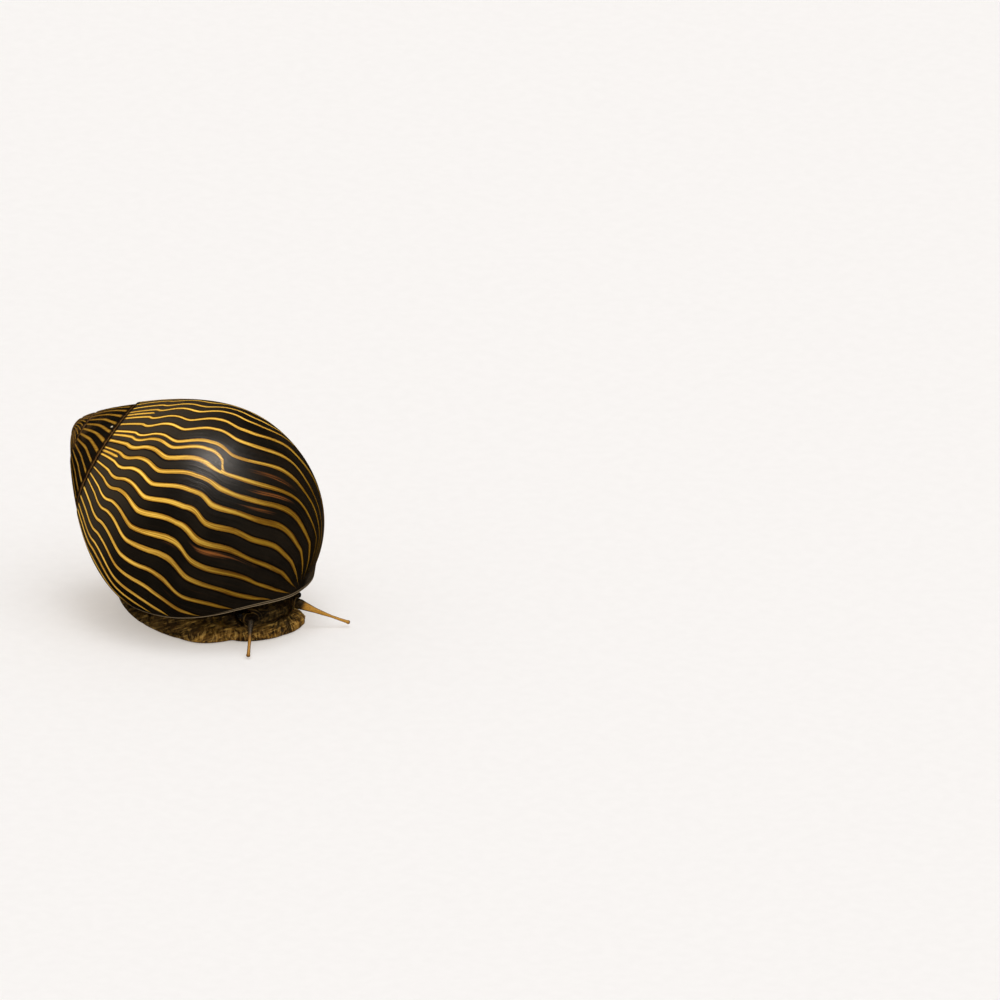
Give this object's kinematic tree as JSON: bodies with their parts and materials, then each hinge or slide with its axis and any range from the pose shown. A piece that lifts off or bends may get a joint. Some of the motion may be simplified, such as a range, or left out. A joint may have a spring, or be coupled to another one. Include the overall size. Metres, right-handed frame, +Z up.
{
  "type": "nerite snail",
  "caption": "Life-size still model of a crawling zebra nerite snail: domed shell with a low spire, broad foot with ruffled oral lobes, thin spread tentacles.",
  "frame": {"origin": "on the floor under the middle of the whole animal's box", "axes": "+X the way the snail faces, -Y its right side, +Z up"},
  "size_m": [0.0237, 0.02, 0.0192],
  "materials": {
    "shell": "glossy dark brown-black shell with wavy gold lines",
    "shell_deck": "smooth cream shell shelf beside the opening",
    "operculum": "horny brown, growth-ringed",
    "flesh": "moist wrinkled olive and gold-brown skin",
    "tentacle": "moist gold-brown skin with dark edges",
    "eye": "glossy black"
  },
  "bodies": {
    "root": {"eye_left": "eye", "eye_right": "eye", "eye_stalk_left": "flesh", "eye_stalk_right": "flesh", "foot_front": "flesh", "foot_middle": "flesh", "foot_tail": "flesh", "head": "flesh", "mantle_edge": "flesh", "operculum": "operculum", "oral_lobe_left": "flesh", "oral_lobe_right": "flesh", "shell_apex": "shell", "shell_body_whorl": "shell", "shell_columellar_deck": "shell_deck", "shell_spire": "shell", "tentacle_left_base": "tentacle", "tentacle_left_middle": "tentacle", "tentacle_left_tip": "tentacle", "tentacle_right_base": "tentacle", "tentacle_right_middle": "tentacle", "tentacle_right_tip": "tentacle"}
  },
  "joints": []
}
